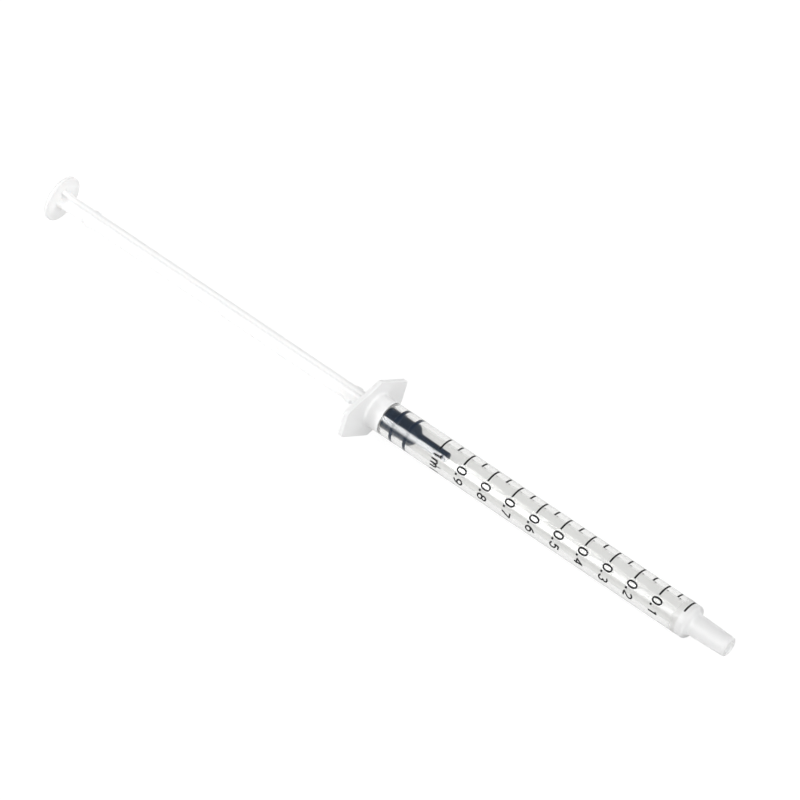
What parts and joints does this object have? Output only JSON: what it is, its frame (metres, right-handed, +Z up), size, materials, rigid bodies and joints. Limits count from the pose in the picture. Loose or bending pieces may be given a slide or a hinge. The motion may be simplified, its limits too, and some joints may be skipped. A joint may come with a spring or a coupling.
{
  "type": "dispensing syringe",
  "caption": "Slim clear slip-tip syringe lying with its plunger drawn out: finger flange, long-nosed rubber seal, finned white plunger rod with a thumb disc.",
  "frame": {"origin": "centre of the bounding box's bottom face, on the table that the syringe lies on", "axes": "+X along the syringe toward its nozzle, +Z up; the syringe's own axis is tipped 1.8 degrees nose down in the XZ plane"},
  "size_m": [0.1628, 0.0192, 0.0132],
  "materials": {
    "clear_barrel": "clear, faintly milky polypropylene with black print",
    "seal_rubber": "smooth dark slate rubber with a film of lubricant",
    "white_plastic": "white moulded polyethylene, satin"
  },
  "bodies": {
    "barrel": {"barrel": "clear_barrel"},
    "piston_seal": {"piston_seal": "seal_rubber"},
    "plunger_rod": {"plunger_rod": "white_plastic"}
  },
  "joints": [
    {"name": "plunger_slide", "type": "slide", "parent": "barrel", "child": "piston_seal", "axis": [0.9994, 0, -0.0333], "range_m": [-0.004, 0.064]},
    {"name": "rod_turn", "type": "hinge", "parent": "piston_seal", "child": "plunger_rod", "pos_m": [0.00093, 0, 0.00576], "axis": [0.9994, 0, -0.0333], "continuous": true}
  ]
}
